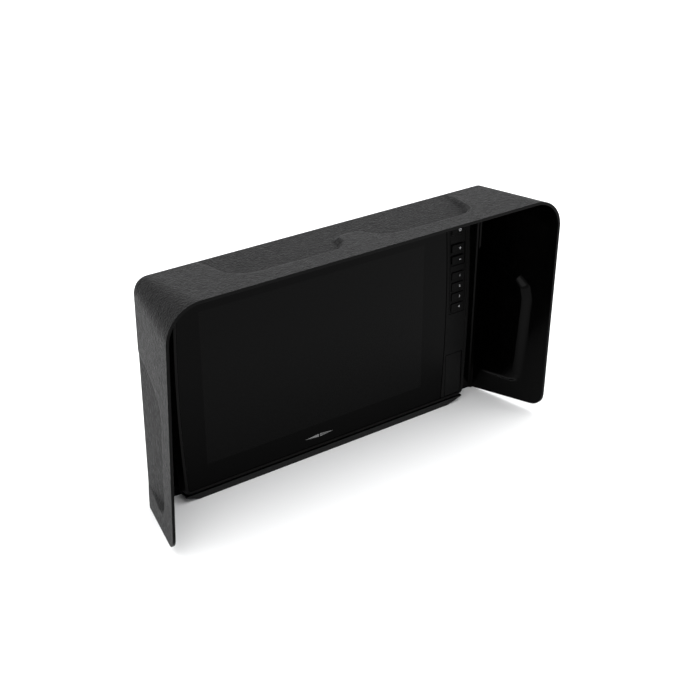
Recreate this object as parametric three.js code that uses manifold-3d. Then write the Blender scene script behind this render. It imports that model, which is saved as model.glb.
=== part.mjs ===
// A 12-inch class chartplotter display wearing a lift-off sun visor.
// Millimetres, +Z up, the screen faces -Y. The display stands on Z = 0.
// Everything is laid out from the glass plane (Y = 0 here), the display from its own middle (X = 0)
// and the visor from its own; groups put them in their places.

import * as THREE from 'three';
import { mergeVertices } from 'three/addons/utils/BufferGeometryUtils.js';
import Module from 'manifold-3d';

const wasm = await Module();
wasm.setup();

// ---------------------------------------------------------------- driving dimensions

const GAP = 0.3; // clearance between touching pieces

// Screen: the lit area of a 12.1-inch 16:10 panel
const SCREEN_W = 260.6;
const SCREEN_H = 162.9;
const SCREEN_X = -16.4; // middle of the lit area, left of the display's middle
const SCREEN_Z = 120;
const CELL_MARGIN_X = 9; // panel beyond its lit area
const CELL_MARGIN_Z = 10;

// Display, with its sides bowed out a little
const UNIT_X = -1.5; // its middle, seen from the visor's
const HALF_W = 175.5; // at the middle of its height
const UNIT_TOP = 226;
const BOW_R = 1500;
const BOW_Z = 117;
const CORNER_R = 6;
const RIM_Y = -0.8; // front of the thin rim round the glass
const RIM_W = 3.3;
const RIM_BOTTOM = 12; // a shadow groove runs under the rim
const GROOVE_BACK = 1.4;
const BEZEL_BOTTOM = 9.9;
const BEZEL_BACK = 9;
const WALL_W = 6.4; // solid wall round the bezel's inner space
const LEDGE = 1.5; // thickness of the ledge that carries the glass
const WALL = 3; // housing wall

// Cover glass
const GLASS_T = 1.8;
const GLASS = { x0: -HALF_W + RIM_W + GAP, x1: 145, z0: 14.9, z1: UNIT_TOP - RIM_W - GAP };
const GLASS_R = 3;

// Key column, which follows the bowed side
const KEY_W = 15.8;
const KEY_H = 9.4;
const KEY_R = 1.4;
const KEY_X = 159.3;
const KEY_FRONT = -1.4;
const KEY_FLANGE = 0.9; // hidden edge that stops a key falling out
const KEY_SLIDE = 0.4; // gap round a key in its opening
const KEYS = [
  { name: 'power_key', z: 208.4 },
  { name: 'zoom_in_key', z: 188 },
  { name: 'zoom_out_key', z: 175 },
  { name: 'shortcut_key_1', z: 156.6 },
  { name: 'shortcut_key_2', z: 144.6 },
  { name: 'shortcut_key_3', z: 132.6 },
  { name: 'shortcut_key_4', z: 120.6 },
];
const COLUMN_FRONT = -0.3;
const KEY_PLATE_BACK = 1.6;
const KEY_PAD = { x0: 149, x1: 169.6, z0: 113.4, z1: 217.6 };
const KEY_PAD_GROOVE = 0.5;
const ZOOM_POCKET = { x0: 149.9, x1: 168.8, z0: 168.4, z1: 194.6 }; // shared by the two zoom keys
const ZOOM_POCKET_BACK = 0.5;
const KEY_ROOM = { x0: 145.6, x1: HALF_W - WALL_W, z0: 112, z1: UNIT_TOP - WALL_W };
const KEY_BOARD = { x0: 146.3, x1: 168.6, z0: 112.6, z1: 218.6 };

// Card door, hinged on an upright pin at its right edge
const DOOR = { x0: 146.8, x1: 169.3, z0: 15.1, z1: 65.8 };
const DOOR_T = 3;
const DOOR_BACK = COLUMN_FRONT + DOOR_T;
const PIN_X = DOOR.x1 - DOOR_T / 2;
const PIN_Y = COLUMN_FRONT + DOOR_T / 2;
const PIN_R = 0.6;
const PIN_OVER = 2.6; // pin beyond each end of the door
const NAIL_NOTCH = { width: 1.2, depth: 1, z0: 36, z1: 45 };
const BAY = { x0: 149.7, x1: 166.2, z0: 18, z1: 63 };
const BAY_FLOOR = 6.4;
const BAY_FLOOR_T = 1.3;
const READER = { x0: 148.6, x1: 163.2, z0: 22, z1: 61.4, back: 12 };
const CARD_SLOT = { width: 12.2, height: 1.6, at: [29, 49] };

// Rear housing
const CHIN_FRONT = -0.4;
const CHIN_SLOPE_Y = 3.5; // the chin slopes back to here, where the flat bottom starts
const CHIN_CUT_W = 20;
const RING_BACK = 14.7;
const MOUTH_W = 166.8; // half width of the opening behind the bezel
const MOUTH_BACK = 12.4;
const BODY_HALF_W = 154;
const BODY_TOP = 210.4;
const BODY_BACK = 50;
const BODY_CHAMFER = 11;
const CAVITY_BOTTOM = 18;
const PAD = { x0: -85, x1: 85, z0: 70, z1: 170, back: 56 };
const SOCKET_BLOCK = { x0: -82, x1: 82, z0: 26, z1: 58, back: 58 };
const FIN = { pitch: 14, half: 1.6, each_side: 5, z0: 175, z1: 194, back: BODY_BACK + 4 };
const SEAL = { inset: 6.2, width: 1.2, depth: 1.4 };
const UNIT_BACK = 68;

// Electronics
const BOARD = { x0: -120, x1: 120, z0: 34, z1: 180 };
const BOARD_Y = 20;
const BOARD_T = 1.6;
const BOARD_REAR = BOARD_Y + BOARD_T + GAP;
const FILM_T = 0.5; // a ribbon with its stiffener

// Fasteners, sockets and vent
const SCREW_INSET = 3;
const SCREW_SHANK_R = 1;
const SCREW_HOLE_R = 1.3;
const HEAD_DEPTH = 2.6;
const SIDE_SCREWS = [[-1, 30], [-1, 120], [-1, 214], [1, 80], [1, 150], [1, 214]]; // [side, height]
const TOP_SCREW_X = 60;
const BOARD_SCREWS = [[-112, 44], [112, 44], [-112, 170], [112, 170]];
const INSERTS = [[-60, 85], [60, 85], [-60, 155], [60, 155]];
const INSERT_R = 4;
const INSERT_DEPTH = 7;
const SOCKETS = [
  { name: 'power_socket', x: -60 },
  { name: 'transducer_socket', x: -20 },
  { name: 'network_socket', x: 20 },
  { name: 'data_socket', x: 60 },
];
const SOCKET_Z = 42;
const SOCKET = { collarR: 11, shankR: 8, shankFront: 42, ringR: 8.6, plugR: 6.4 };
const VENT = { x: 118, z: 60, r: 3, capR: 6 };

// Sun visor: one sheet, measured on its outer face
const SHEET = 3;
const LEAN = THREE.MathUtils.degToRad(1); // its foot sits further back than its top
const VISOR = {
  backY: 19.5, frontTopY: -79.2, frontFootY: -74,
  backHalfW: 202.5, frontHalfW: 222,
  backTop: 243.7, frontTop: 257.4,
  backFoot: 0.6, frontFoot: 12.3,
  backR: 13.5, frontR: 34,
  fold: 6, flangeSide: 45.1, flangeTop: 32.7, flangeR: 6,
  footR: 13, // rounded lower front corner of each wing
  frontFlare: 0.022, // at the front edge, each wing spreads this much per millimetre down
};
// Recessed panels, as outlines of [place along the panel, distance from the back edge]
const TOP_RECESS = [
  [-144, -9], [-137, 27], [-135, 50], [-130, 60], [-118, 67], [-60, 69], [-31, 69], [-22, 63],
  [-15, 54], [-12, 42], [-8, 38], [0, 36], [12, 37], [18, 44], [24, 61], [34, 68], [60, 70],
  [110, 71], [122, 69], [130, 62], [136, 50], [146, 9], [147, -9],
];
const WING_RECESS = [
  [24, -9], [29, 40], [31, 55], [34, 61], [41, 65], [135, 70], [147, 67], [155, 57], [162, 41], [176, -9],
];
const TOP_RECESS_DEPTH = 0.7; // share of the sheet's outward spread that a recess takes back
const WING_RECESS_DEPTH = 0.5;
const RECESS_WALL = 6;

// ---------------------------------------------------------------- finishes

const FINISH = {
  sheet: { color: 0x3a393a, roughness: 0.7, metalness: 0 },
  shell: { color: 0x1c1c1e, roughness: 0.5, metalness: 0 },
  glass: { color: 0x101114, roughness: 0.08, metalness: 0 },
  key: { color: 0x17171a, roughness: 0.5, metalness: 0 },
  rubber: { color: 0x202022, roughness: 0.9, metalness: 0 },
  steel: { color: 0xa8a9ab, roughness: 0.35, metalness: 1 },
  alloy: { color: 0xb9bbbe, roughness: 0.45, metalness: 1 },
  brass: { color: 0xb08d4a, roughness: 0.35, metalness: 1 },
  board: { color: 0x17452c, roughness: 0.6, metalness: 0 },
  chip: { color: 0x151517, roughness: 0.5, metalness: 0 },
  ceramic: { color: 0xc9b79a, roughness: 0.6, metalness: 0 },
  film: { color: 0x8a5a22, roughness: 0.4, metalness: 0 },
};

// ---------------------------------------------------------------- shape helpers

const display = new THREE.Group();
const visor = new THREE.Group();

function solid(geometry) {
  const bare = geometry.index ? geometry.toNonIndexed() : geometry.clone();
  bare.deleteAttribute('normal');
  bare.deleteAttribute('uv');
  const merged = mergeVertices(bare, 1e-4);
  return new wasm.Manifold(new wasm.Mesh({
    numProp: 3,
    vertProperties: new Float32Array(merged.attributes.position.array),
    triVerts: new Uint32Array(merged.index.array),
  }));
}

function geometryOf(body) {
  const mesh = body.getMesh();
  const geometry = new THREE.BufferGeometry();
  const corners = new Float32Array(mesh.numVert * 3);
  for (let i = 0; i < mesh.numVert; i += 1) {
    for (let k = 0; k < 3; k += 1) {
      corners[i * 3 + k] = mesh.vertProperties[i * mesh.numProp + k];
    }
  }
  geometry.setAttribute('position', new THREE.BufferAttribute(corners, 3));
  geometry.setIndex(new THREE.BufferAttribute(new Uint32Array(mesh.triVerts), 1));
  return geometry;
}

const join = (first, ...rest) => rest.reduce((body, other) => body.add(other), first);
const cut = (body, ...tools) => tools.reduce((left, tool) => left.subtract(tool), body);

function place(name, body, finish, group = display) {
  const geometry = body.isBufferGeometry ? body : geometryOf(body);
  geometry.computeVertexNormals();
  const mesh = new THREE.Mesh(geometry, new THREE.MeshStandardMaterial(FINISH[finish]));
  mesh.name = name;
  group.add(mesh);
}

function block(x0, x1, y0, y1, z0, z1) {
  const box = new THREE.BoxGeometry(x1 - x0, y1 - y0, z1 - z0);
  return solid(box.translate((x0 + x1) / 2, (y0 + y1) / 2, (z0 + z1) / 2));
}

// A round rod along Y
function rod(x, z, radius, y0, y1, sides = 16) {
  const cylinder = new THREE.CylinderGeometry(radius, radius, y1 - y0, sides);
  return solid(cylinder.translate(x, (y0 + y1) / 2, z));
}

// A round rod along Z
function post(x, y, radius, z0, z1, sides = 12) {
  const cylinder = new THREE.CylinderGeometry(radius, radius, z1 - z0, sides).rotateX(Math.PI / 2);
  return solid(cylinder.translate(x, y, (z0 + z1) / 2));
}

// A flat plate lying across Y, cut to an outline in X and Z
function plate(outline, y0, y1, arcSteps = 1) {
  const extrusion = new THREE.ExtrudeGeometry(outline, {
    depth: y1 - y0, bevelEnabled: false, curveSegments: arcSteps,
  });
  return solid(extrusion.rotateX(Math.PI / 2).translate(0, y1, 0));
}

function roundedRect(x0, x1, z0, z1, r) {
  const shape = new THREE.Shape();
  shape.moveTo(x0 + r, z0);
  shape.lineTo(x1 - r, z0);
  shape.absarc(x1 - r, z0 + r, r, -Math.PI / 2, 0, false);
  shape.lineTo(x1, z1 - r);
  shape.absarc(x1 - r, z1 - r, r, 0, Math.PI / 2, false);
  shape.lineTo(x0 + r, z1);
  shape.absarc(x0 + r, z1 - r, r, Math.PI / 2, Math.PI, false);
  shape.lineTo(x0, z0 + r);
  shape.absarc(x0 + r, z0 + r, r, Math.PI, Math.PI * 1.5, false);
  return shape;
}

// How far a bowed side has drawn in at a height, towards the display's middle
const bow = (z) => (z - BOW_Z) ** 2 / (2 * BOW_R);
const bowed = (x, z) => x - Math.sign(x) * bow(z);

// A rounded rectangle whose upright sides follow the display's bowed ones
function bowedRect({ x0, x1, z0, z1 }, r, steps = 4) {
  const shape = new THREE.Shape();
  const heights = Array.from({ length: steps + 1 }, (_, i) => z0 + r + ((z1 - z0 - 2 * r) * i) / steps);
  const low = z0 + r;
  const high = z1 - r;
  shape.moveTo(bowed(x0, low) + r, z0);
  shape.lineTo(bowed(x1, low) - r, z0);
  shape.absarc(bowed(x1, low) - r, low, r, -Math.PI / 2, 0, false);
  heights.forEach((z) => shape.lineTo(bowed(x1, z), z));
  shape.absarc(bowed(x1, high) - r, high, r, 0, Math.PI / 2, false);
  shape.lineTo(bowed(x0, high) + r, z1);
  shape.absarc(bowed(x0, high) + r, high, r, Math.PI / 2, Math.PI, false);
  heights.reverse().forEach((z) => shape.lineTo(bowed(x0, z), z));
  shape.absarc(bowed(x0, low) + r, low, r, Math.PI, Math.PI * 1.5, false);
  return shape;
}

// An outline seen from the front, standing on Z = 0 with both lower corners cut off
function chinOutline(halfW, top, topR) {
  const shape = new THREE.Shape();
  shape.moveTo(-halfW + CHIN_CUT_W, 0);
  shape.lineTo(halfW - CHIN_CUT_W, 0);
  shape.lineTo(halfW, BEZEL_BOTTOM);
  shape.lineTo(halfW, top - topR);
  shape.absarc(halfW - topR, top - topR, topR, 0, Math.PI / 2, false);
  shape.lineTo(-halfW + topR, top);
  shape.absarc(-halfW + topR, top - topR, topR, Math.PI / 2, Math.PI, false);
  shape.lineTo(-halfW, BEZEL_BOTTOM);
  return shape;
}

const grow = (box, by) => ({ x0: box.x0 - by, x1: box.x1 + by, z0: box.z0 - by, z1: box.z1 + by });
const rectPlate = (b, r, y0, y1) => plate(roundedRect(b.x0, b.x1, b.z0, b.z1, r), y0, y1);
const bowedPlate = (b, r, y0, y1, arcSteps) => plate(bowedRect(b, r), y0, y1, arcSteps);

// Turns an extruded [Y, Z] profile so that its depth runs along X
function alongX(profile, x0, x1) {
  const bar = new THREE.ExtrudeGeometry(profile, { depth: x1 - x0, bevelEnabled: false });
  const turn = new THREE.Matrix4().makeBasis(
    new THREE.Vector3(0, 1, 0), new THREE.Vector3(0, 0, 1), new THREE.Vector3(1, 0, 0),
  );
  return solid(bar.applyMatrix4(turn).translate(x0, 0, 0));
}

// ---------------------------------------------------------------- bezel and glass

const RIM = { x0: -HALF_W, x1: HALF_W, z0: BEZEL_BOTTOM, z1: UNIT_TOP };
const CELL = {
  x0: SCREEN_X - SCREEN_W / 2 - CELL_MARGIN_X,
  x1: SCREEN_X + SCREEN_W / 2 + CELL_MARGIN_X,
  z0: SCREEN_Z - SCREEN_H / 2 - CELL_MARGIN_Z,
  z1: SCREEN_Z + SCREEN_H / 2 + CELL_MARGIN_Z,
};
const THROUGH = 1; // how far a cutting tool runs past a face
const RIM_TOOL_Y = RIM_Y - THROUGH;
const BACK_TOOL_Y = BEZEL_BACK + THROUGH;

const keyX = (z) => bowed(KEY_X, z);

function keyBox(z, by = 0) {
  const x = keyX(z);
  return grow({ x0: x - KEY_W / 2, x1: x + KEY_W / 2, z0: z - KEY_H / 2, z1: z + KEY_H / 2 }, by);
}

function screenOpenings() {
  const room = { ...grow(RIM, -WALL_W), x1: GLASS.x1 - 4.5 };
  return [
    bowedPlate(grow(GLASS, GAP), GLASS_R, RIM_TOOL_Y, GLASS_T + GAP),
    rectPlate(grow(CELL, GAP), 1, RIM_Y, BACK_TOOL_Y),
    bowedPlate(room, 1, GLASS_T + GAP + LEDGE, BACK_TOOL_Y),
  ];
}

function keyOpenings() {
  const column = { x0: GLASS.x1 + 0.5, x1: HALF_W - RIM_W, z0: GLASS.z0, z1: GLASS.z1 };
  const groove = cut(
    bowedPlate(KEY_PAD, 1.6, RIM_TOOL_Y, ZOOM_POCKET_BACK),
    bowedPlate(grow(KEY_PAD, -KEY_PAD_GROOVE), 1.6, RIM_TOOL_Y, ZOOM_POCKET_BACK + THROUGH),
  );
  return [
    bowedPlate(column, GLASS_R, RIM_TOOL_Y, COLUMN_FRONT),
    groove,
    bowedPlate(ZOOM_POCKET, 1.6, RIM_TOOL_Y, ZOOM_POCKET_BACK),
    bowedPlate(KEY_ROOM, 1, KEY_PLATE_BACK, BACK_TOOL_Y),
    ...KEYS.map((key) => rectPlate(keyBox(key.z, KEY_SLIDE), 1.5, RIM_TOOL_Y, KEY_PLATE_BACK + THROUGH)),
  ];
}

// The bay behind the card door, with card slots in its floor and room for the reader behind
function bayOpenings() {
  const slotX = (READER.x0 + READER.x1 - CARD_SLOT.width) / 2;
  const slots = CARD_SLOT.at.map((z) => block(
    slotX, slotX + CARD_SLOT.width, BAY_FLOOR - THROUGH, BACK_TOOL_Y, z, z + CARD_SLOT.height,
  ));
  const room = grow(READER, 0.4);
  return [
    rectPlate(grow(DOOR, GAP), 0.4, RIM_TOOL_Y, DOOR_BACK + 0.4),
    rectPlate(BAY, 2, RIM_Y, BAY_FLOOR),
    block(room.x0, room.x1, BAY_FLOOR + BAY_FLOOR_T, BACK_TOOL_Y, BAY.z0, room.z1),
    post(PIN_X, PIN_Y, PIN_R + GAP, DOOR.z0 - PIN_OVER - 0.4, DOOR.z1 + PIN_OVER + 0.4),
    ...slots,
  ];
}

function makeBezel() {
  let body = bowedPlate(RIM, CORNER_R, RIM_Y, BEZEL_BACK, 3);
  body = cut(
    body,
    block(-HALF_W, HALF_W, RIM_TOOL_Y, GROOVE_BACK, 0, RIM_BOTTOM),
    ...screenOpenings(),
    ...keyOpenings(),
    ...bayOpenings(),
    ...housingScrews().map(([x, z]) => rod(x, z, SCREW_HOLE_R, 3.6, BACK_TOOL_Y, 8)),
  );
  place('front_bezel', body, 'shell');
}

function makeGlass() {
  place('front_glass', bowedPlate(GLASS, GLASS_R, 0, GLASS_T), 'glass');
}

// ---------------------------------------------------------------- keys

function makeKey(key) {
  const shoulder = 1.9;
  const flangeBack = shoulder + 0.8;
  const cap = rectPlate(keyBox(key.z), KEY_R, KEY_FRONT, shoulder);
  const flange = rectPlate(keyBox(key.z, KEY_FLANGE), KEY_R, shoulder, flangeBack);
  const stem = rod(keyX(key.z), key.z, 2, flangeBack, 3.3, 8);
  place(key.name, join(cap, flange, stem), 'key');
}

function makeKeypad() {
  const front = 4.9;
  const back = front + 1.4;
  const domes = KEYS.map((key) => rod(keyX(key.z), key.z, 3, front - 0.5, front + 0.1, 8));
  place('key_membrane', join(bowedPlate(KEY_BOARD, 1, front, back), ...domes), 'rubber');
  place('key_board', bowedPlate(KEY_BOARD, 1, back + GAP, back + GAP + BOARD_T), 'board');
}

// ---------------------------------------------------------------- card door

function makeCardDoor() {
  const leaf = block(DOOR.x0, PIN_X, COLUMN_FRONT, DOOR_BACK, DOOR.z0, DOOR.z1);
  const knuckle = post(PIN_X, PIN_Y, DOOR_T / 2, DOOR.z0, DOOR.z1, 16);
  const bore = post(PIN_X, PIN_Y, PIN_R + GAP, DOOR.z0 - THROUGH, DOOR.z1 + THROUGH);
  const notch = block(
    DOOR.x0 - THROUGH, DOOR.x0 + NAIL_NOTCH.width,
    COLUMN_FRONT - THROUGH, COLUMN_FRONT + NAIL_NOTCH.depth, NAIL_NOTCH.z0, NAIL_NOTCH.z1,
  );
  place('card_door', cut(join(leaf, knuckle), bore, notch), 'shell');
  place('card_door_pin', post(PIN_X, PIN_Y, PIN_R, DOOR.z0 - PIN_OVER, DOOR.z1 + PIN_OVER), 'steel');

  const sealFront = DOOR_BACK + GAP;
  const outer = rectPlate(grow(BAY, -0.6), 1.6, sealFront, sealFront + SEAL.depth);
  const inner = rectPlate(grow(BAY, -2), 1.2, sealFront - THROUGH, sealFront + SEAL.depth + THROUGH);
  place('card_door_seal', cut(outer, inner), 'rubber');
  const readerFront = BAY_FLOOR + BAY_FLOOR_T + GAP;
  place('card_reader', block(READER.x0, READER.x1, readerFront, READER.back, READER.z0, READER.z1), 'steel');
}

// ---------------------------------------------------------------- screen

// A flat ribbon of even thickness: its path as [across, along] points, thickened to one side
function ribbonShape(path) {
  const shape = new THREE.Shape();
  const near = path.map(([u, v]) => new THREE.Vector2(u, v));
  const sides = near.map((point, i) => {
    const before = near[Math.max(0, i - 1)];
    const after = near[Math.min(near.length - 1, i + 1)];
    const along = after.clone().sub(before).normalize();
    return point.clone().add(new THREE.Vector2(-along.y, along.x).multiplyScalar(FILM_T));
  });
  shape.setFromPoints([...near, ...sides.reverse()]);
  return shape;
}

function makeScreen() {
  const front = GLASS_T + GAP;
  const trayFront = front + 2 + GAP;
  const chassisFront = trayFront + 5 + GAP;
  place('lcd_cell', rectPlate(CELL, 1, front, front + 2), 'chip');
  place('backlight_tray', rectPlate(CELL, 1, trayFront, trayFront + 5), 'alloy');
  place('lcd_chassis', rectPlate(grow(CELL, -2), 3, chassisFront, chassisFront + 1.5), 'steel');
  // it leaves the panel's lower edge, passes under the chassis and rises to the main board
  const path = [[5.9, 27.2], [5.9, 25.1], [12.8, 24.2], [18.9, 31.4], [18.9, 36]];
  place('display_ribbon', alongX(ribbonShape(path.reverse()), -50, -24), 'film');
}

// ---------------------------------------------------------------- electronics

function makeElectronics() {
  const holes = BOARD_SCREWS.map(
    ([x, z]) => rod(x, z, SCREW_HOLE_R, BOARD_Y - THROUGH, BOARD_Y + BOARD_T + THROUGH, 10),
  );
  place('main_board', cut(rectPlate(BOARD, 3, BOARD_Y, BOARD_Y + BOARD_T), ...holes), 'board');
  const front = BOARD_Y - GAP;
  const chipBack = BOARD_REAR + 2;
  place('processor', block(-14, 14, BOARD_REAR, chipBack, 96, 124), 'chip');
  place('shield_can', block(-95, -45, front - 4.5, front, 80, 125), 'steel');
  place('gps_antenna', block(-100, -75, BOARD_REAR, BOARD_REAR + 8, 145, 170), 'ceramic');
  place('buzzer', rod(80, 60, 7, front - 6, front, 20), 'chip');
  const wallFront = BODY_BACK - WALL - GAP;
  const foot = block(-55, 55, wallFront - 3, wallFront, 80, 140);
  const stem = block(-15, 15, chipBack + GAP, wallFront, 95, 125);
  place('heat_spreader', join(foot, stem), 'alloy');

  // from the front of the main board to the back of the key board, seen from above
  const path = [[108, 18.9], [118, 18.9], [151, 8.6], [161, 8.6]];
  const strip = new THREE.ExtrudeGeometry(ribbonShape(path), { depth: 12, bevelEnabled: false });
  place('key_ribbon', solid(strip.translate(0, 0, 126)), 'film');
}

// ---------------------------------------------------------------- rear housing

// Screws sit in the wall round the edge, along the bowed sides and the top
function housingScrews() {
  const sides = SIDE_SCREWS.map(([side, z]) => [side * (HALF_W - bow(z) - SCREW_INSET), z]);
  const top = [-TOP_SCREW_X, TOP_SCREW_X].map((x) => [x, UNIT_TOP - SCREW_INSET]);
  return [...sides, ...top];
}

function sealRing(y0, y1, slack) {
  const outer = grow(RIM, -SEAL.inset + SEAL.width + slack);
  const inner = grow(RIM, -SEAL.inset - slack);
  return cut(bowedPlate(outer, 4, y0, y1), bowedPlate(inner, 3, y0 - THROUGH, y1 + THROUGH));
}

// Everything behind the bezel follows its bowed sides down to the floor
const bowedTrim = (y0, y1) => bowedPlate({ ...RIM, z0: -CORNER_R }, CORNER_R, y0, y1, 3);

function makeChin() {
  const profile = new THREE.Shape();
  profile.moveTo(CHIN_FRONT, BEZEL_BOTTOM - GAP);
  profile.lineTo(CHIN_SLOPE_Y, 0);
  profile.lineTo(RING_BACK, 0);
  profile.lineTo(RING_BACK, BEZEL_BOTTOM - GAP);
  return alongX(profile, -HALF_W, HALF_W);
}

function makeRing() {
  const outline = plate(chinOutline(HALF_W, UNIT_TOP, CORNER_R), CHIN_FRONT, RING_BACK, 3);
  const slab = outline.intersect(bowedTrim(CHIN_FRONT - THROUGH, RING_BACK + THROUGH));
  const behindBezel = block(-HALF_W, HALF_W, BEZEL_BACK + GAP, RING_BACK, 0, UNIT_TOP);
  return slab.intersect(join(behindBezel, makeChin()));
}

function makeRearBody() {
  const inset = BODY_CHAMFER;
  const shape = chinOutline(BODY_HALF_W - inset, BODY_TOP - inset * 2, 8);
  const extrusion = new THREE.ExtrudeGeometry(shape, {
    depth: BODY_BACK - RING_BACK - BODY_CHAMFER + 2, bevelEnabled: true, curveSegments: 2,
    bevelSize: inset, bevelThickness: BODY_CHAMFER, bevelSegments: 1,
  });
  const bevelled = solid(extrusion.rotateX(Math.PI / 2).translate(0, BODY_BACK - BODY_CHAMFER, inset));
  return bevelled.intersect(block(-HALF_W, HALF_W, RING_BACK - 2, BODY_BACK + THROUGH, -1, UNIT_TOP));
}

function makeFins() {
  const fins = [];
  for (let i = -FIN.each_side; i <= FIN.each_side; i += 1) {
    const x = i * FIN.pitch;
    fins.push(block(x - FIN.half, x + FIN.half, BODY_BACK - THROUGH, FIN.back, FIN.z0, FIN.z1));
  }
  return fins;
}

function housingOpenings() {
  const mouth = {
    x0: -MOUTH_W, x1: MOUTH_W, z0: CAVITY_BOTTOM, z1: UNIT_TOP - HALF_W + MOUTH_W,
  };
  const cavity = {
    x0: -BODY_HALF_W + WALL, x1: BODY_HALF_W - WALL, z0: CAVITY_BOTTOM, z1: BODY_TOP - WALL,
  };
  const sealBack = BEZEL_BACK + GAP + SEAL.depth + GAP;
  return [
    bowedPlate(mouth, 3, BEZEL_BACK, MOUTH_BACK),
    rectPlate(cavity, 14, MOUTH_BACK - THROUGH, BODY_BACK - BODY_CHAMFER - WALL),
    rectPlate(grow(cavity, -BODY_CHAMFER), 8, 30, BODY_BACK - WALL),
    sealRing(BEZEL_BACK, sealBack, GAP),
  ];
}

function fastenerHoles() {
  const deep = BODY_BACK - WALL - THROUGH;
  return [
    ...BOARD_SCREWS.map(([x, z]) => rod(x, z, SCREW_HOLE_R, BOARD_Y, 32, 10)),
    ...housingScrews().map(([x, z]) => rod(x, z, 1.5, BEZEL_BACK, RING_BACK + THROUGH, 8)),
    ...housingScrews().map(([x, z]) => rod(x, z, 2.5, RING_BACK - HEAD_DEPTH, RING_BACK + THROUGH, 12)),
    ...INSERTS.map(([x, z]) => rod(x, z, INSERT_R + 0.4, PAD.back - INSERT_DEPTH - 0.5, PAD.back + 1, 12)),
    ...SOCKETS.map(({ x }) => rod(x, SOCKET_Z, SOCKET.shankR + 0.4, deep, SOCKET_BLOCK.back + THROUGH, 14)),
    rod(VENT.x, VENT.z, VENT.r + GAP, deep, BODY_BACK + THROUGH, 12),
  ];
}

function makeHousing() {
  const shell = join(
    makeRing(),
    makeRearBody(),
    rectPlate(PAD, 6, BODY_BACK - THROUGH, PAD.back),
    rectPlate(SOCKET_BLOCK, 5, BODY_BACK - THROUGH, SOCKET_BLOCK.back),
    ...makeFins(),
  );
  const bosses = BOARD_SCREWS.map(([x, z]) => rod(x, z, 4, BOARD_REAR, BODY_BACK - THROUGH, 12));
  const hollow = join(cut(shell, ...housingOpenings()), ...bosses);
  place('rear_housing', cut(hollow, ...fastenerHoles()), 'shell');
  const sealFront = BEZEL_BACK + GAP;
  place('housing_seal', sealRing(sealFront, sealFront + SEAL.depth, 0), 'rubber');
}

// ---------------------------------------------------------------- sockets, vent and fasteners

function makeSocket({ name, x }) {
  const front = SOCKET_BLOCK.back + GAP;
  const collar = rod(x, SOCKET_Z, SOCKET.collarR, front, UNIT_BACK, 18);
  const shank = rod(x, SOCKET_Z, SOCKET.shankR, SOCKET.shankFront, front + THROUGH, 14);
  const groove = cut(
    rod(x, SOCKET_Z, SOCKET.ringR, front + 2.5, UNIT_BACK + THROUGH, 14),
    rod(x, SOCKET_Z, SOCKET.plugR, front, UNIT_BACK + 2 * THROUGH, 14),
  );
  place(name, cut(join(collar, shank), groove), 'shell');
}

function makeVent() {
  const stem = rod(VENT.x, VENT.z, VENT.r, BODY_BACK - WALL, BODY_BACK + THROUGH, 12);
  const cap = rod(VENT.x, VENT.z, VENT.capR, BODY_BACK + GAP, BODY_BACK + 2.6, 16);
  place('vent_plug', join(stem, cap), 'rubber');
}

function makeFasteners() {
  const headFront = RING_BACK - HEAD_DEPTH + GAP;
  housingScrews().forEach(([x, z], i) => {
    const head = rod(x, z, 2.2, headFront, headFront + 1.9, 10);
    const shank = rod(x, z, SCREW_SHANK_R, 4, headFront + THROUGH, 6);
    place(`housing_screw_${i + 1}`, join(head, shank), 'steel');
  });
  BOARD_SCREWS.forEach(([x, z], i) => {
    const head = rod(x, z, 2.6, BOARD_Y - GAP - 1.8, BOARD_Y - GAP, 10);
    const shank = rod(x, z, SCREW_SHANK_R, BOARD_Y - THROUGH, 30, 6);
    place(`board_screw_${i + 1}`, join(head, shank), 'steel');
  });
  INSERTS.forEach(([x, z], i) => {
    const sleeve = rod(x, z, INSERT_R, PAD.back - INSERT_DEPTH, PAD.back, 12);
    const bore = rod(x, z, 1.9, PAD.back - INSERT_DEPTH - THROUGH, PAD.back + THROUGH, 8);
    place(`mount_insert_${i + 1}`, cut(sleeve, bore), 'brass');
  });
}

// ---------------------------------------------------------------- sun visor

const mix = (a, b, t) => a + (b - a) * t;

// Distance from a point to the outline's edge, negative inside it
function edgeDistance(u, v, outline) {
  let nearest = Infinity;
  let inside = false;
  outline.forEach(([u1, v1], i) => {
    const [u0, v0] = outline[(i + outline.length - 1) % outline.length];
    const along = ((u - u0) * (u1 - u0) + (v - v0) * (v1 - v0)) / ((u1 - u0) ** 2 + (v1 - v0) ** 2);
    const t = Math.min(1, Math.max(0, along));
    nearest = Math.min(nearest, Math.hypot(u - mix(u0, u1, t), v - mix(v0, v1, t)));
    if ((v0 > v) !== (v1 > v) && u < ((u1 - u0) * (v - v0)) / (v1 - v0) + u0) {
      inside = !inside;
    }
  });
  return inside ? -nearest : nearest;
}

// 1 on a recessed panel, 0 outside it, and smooth across its sloping wall
function recessed(u, v, outline) {
  const t = Math.min(1, Math.max(0, 0.5 - edgeDistance(u, v, outline) / RECESS_WALL));
  return t * t * (3 - 2 * t);
}

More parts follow.
